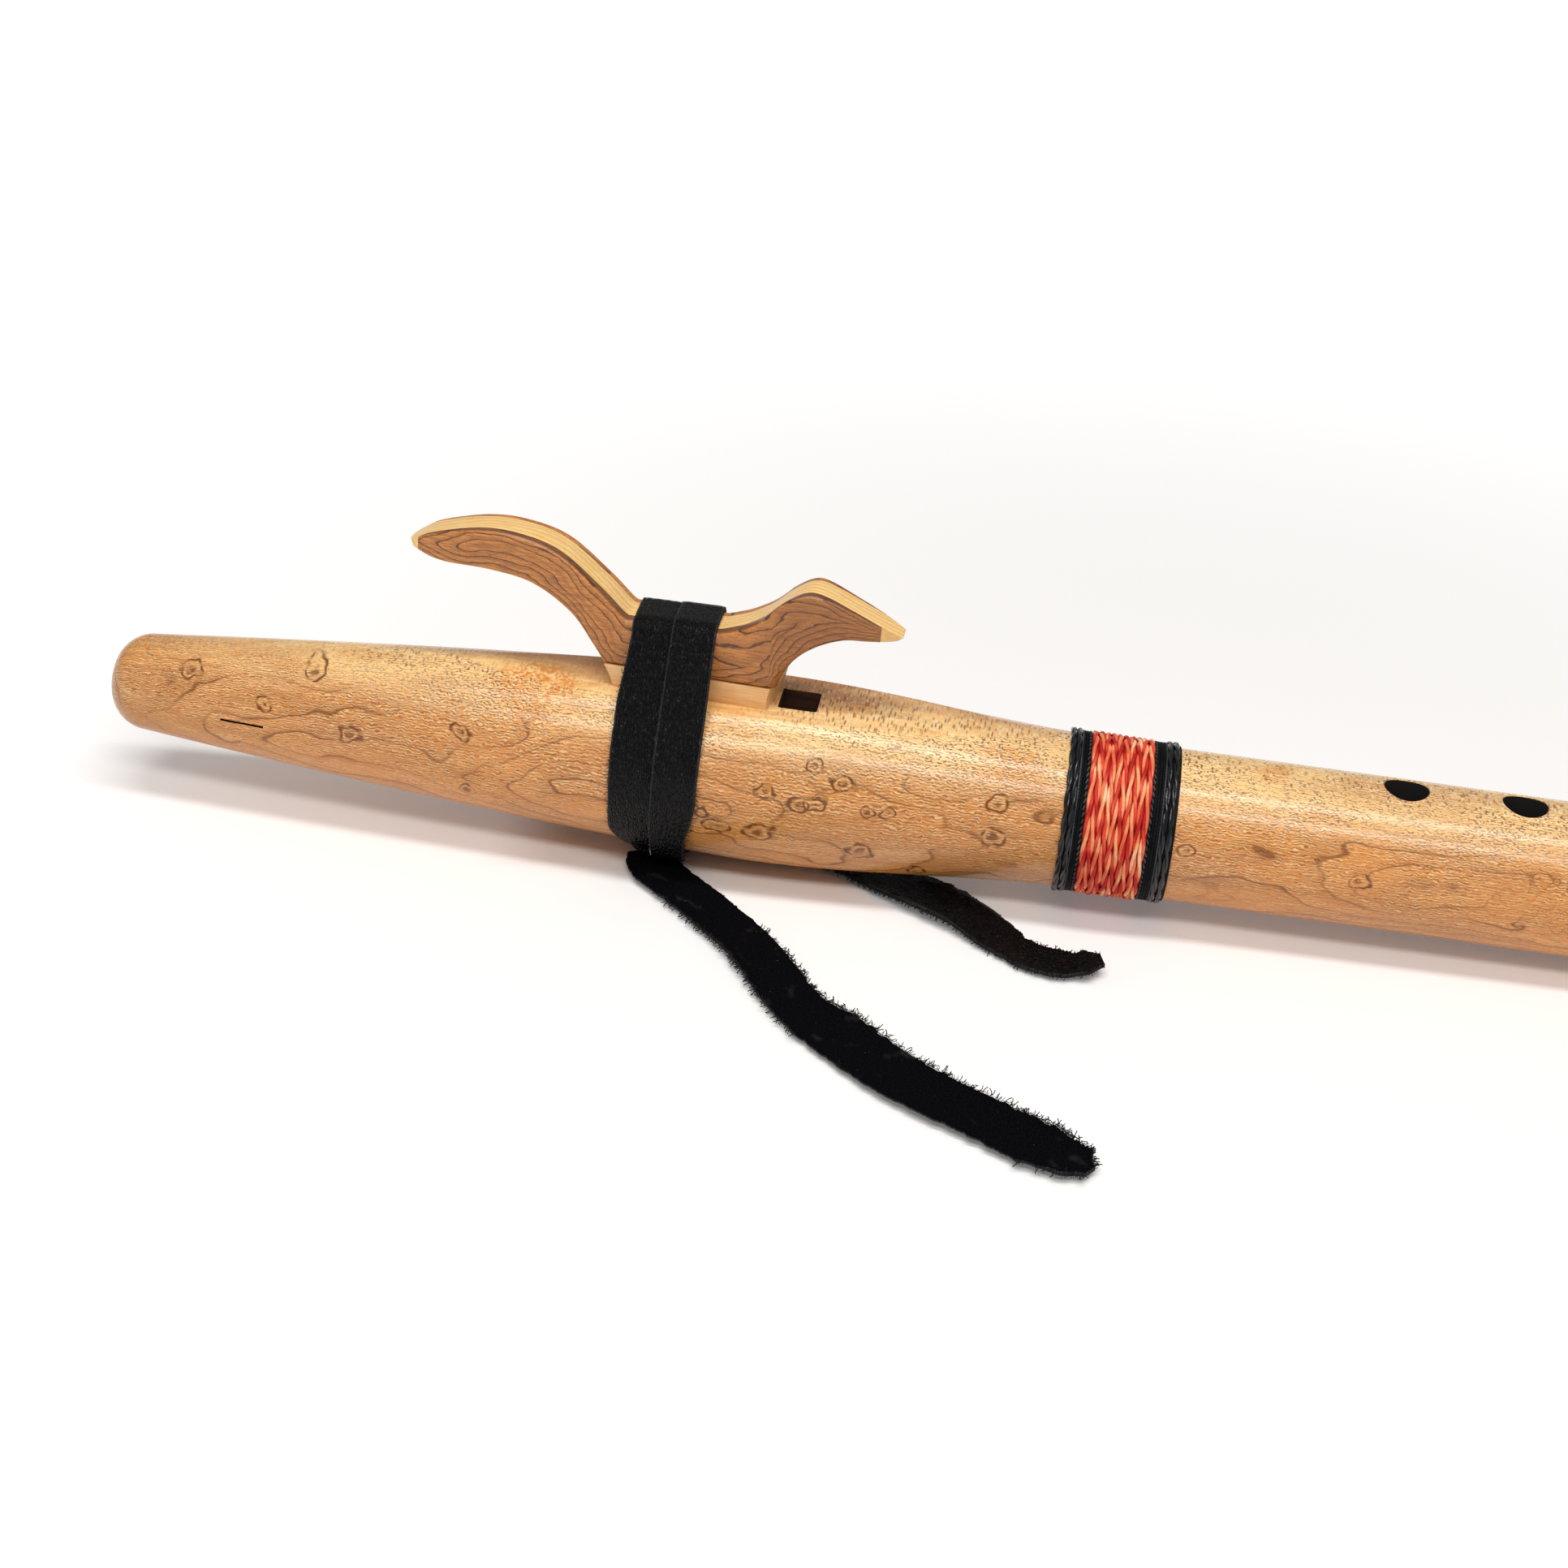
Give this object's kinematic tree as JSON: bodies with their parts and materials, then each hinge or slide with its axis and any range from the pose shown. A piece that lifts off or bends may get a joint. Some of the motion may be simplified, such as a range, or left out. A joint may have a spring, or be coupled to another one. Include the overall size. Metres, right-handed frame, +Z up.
{
  "type": "native american flute",
  "caption": "End-blown wooden duct flute with finger holes, a carved bird-shaped block tied on with a leather lace, and a coloured thread binding.",
  "frame": {"origin": "on the table under the middle of the flute's length, with the flute lying on its lace knot and on the rim of its foot", "axes": "+X along the flute towards its foot, +Z up through the finger holes; the loose lace ends lie on the -Y side. The flute's own axis dips 1.01 degrees towards the foot."},
  "size_m": [0.5134, 0.1347, 0.0746],
  "materials": {
    "maple": "satin",
    "light_ply": "satin",
    "dark_ply": "satin",
    "lace": "matt",
    "black_thread": "waxed",
    "orange_thread": "satin"
  },
  "bodies": {
    "flute": {"body_upper_half": "maple", "body_lower_half": "maple", "strap_wraps": "lace", "strap_knot": "lace", "strap_front_tail": "lace", "strap_rear_tail": "lace", "binding_black_mouth_side": "black_thread", "binding_orange": "orange_thread", "binding_black_foot_side": "black_thread"},
    "bird_block": {"block_base": "light_ply", "block_core": "light_ply", "block_near_side": "dark_ply", "block_far_side": "dark_ply"}
  },
  "joints": [
    {"name": "block_slide", "type": "slide", "parent": "flute", "child": "bird_block", "axis": [0.9998, 0, -0.0176], "range_m": [-0.002, 0.001]}
  ]
}
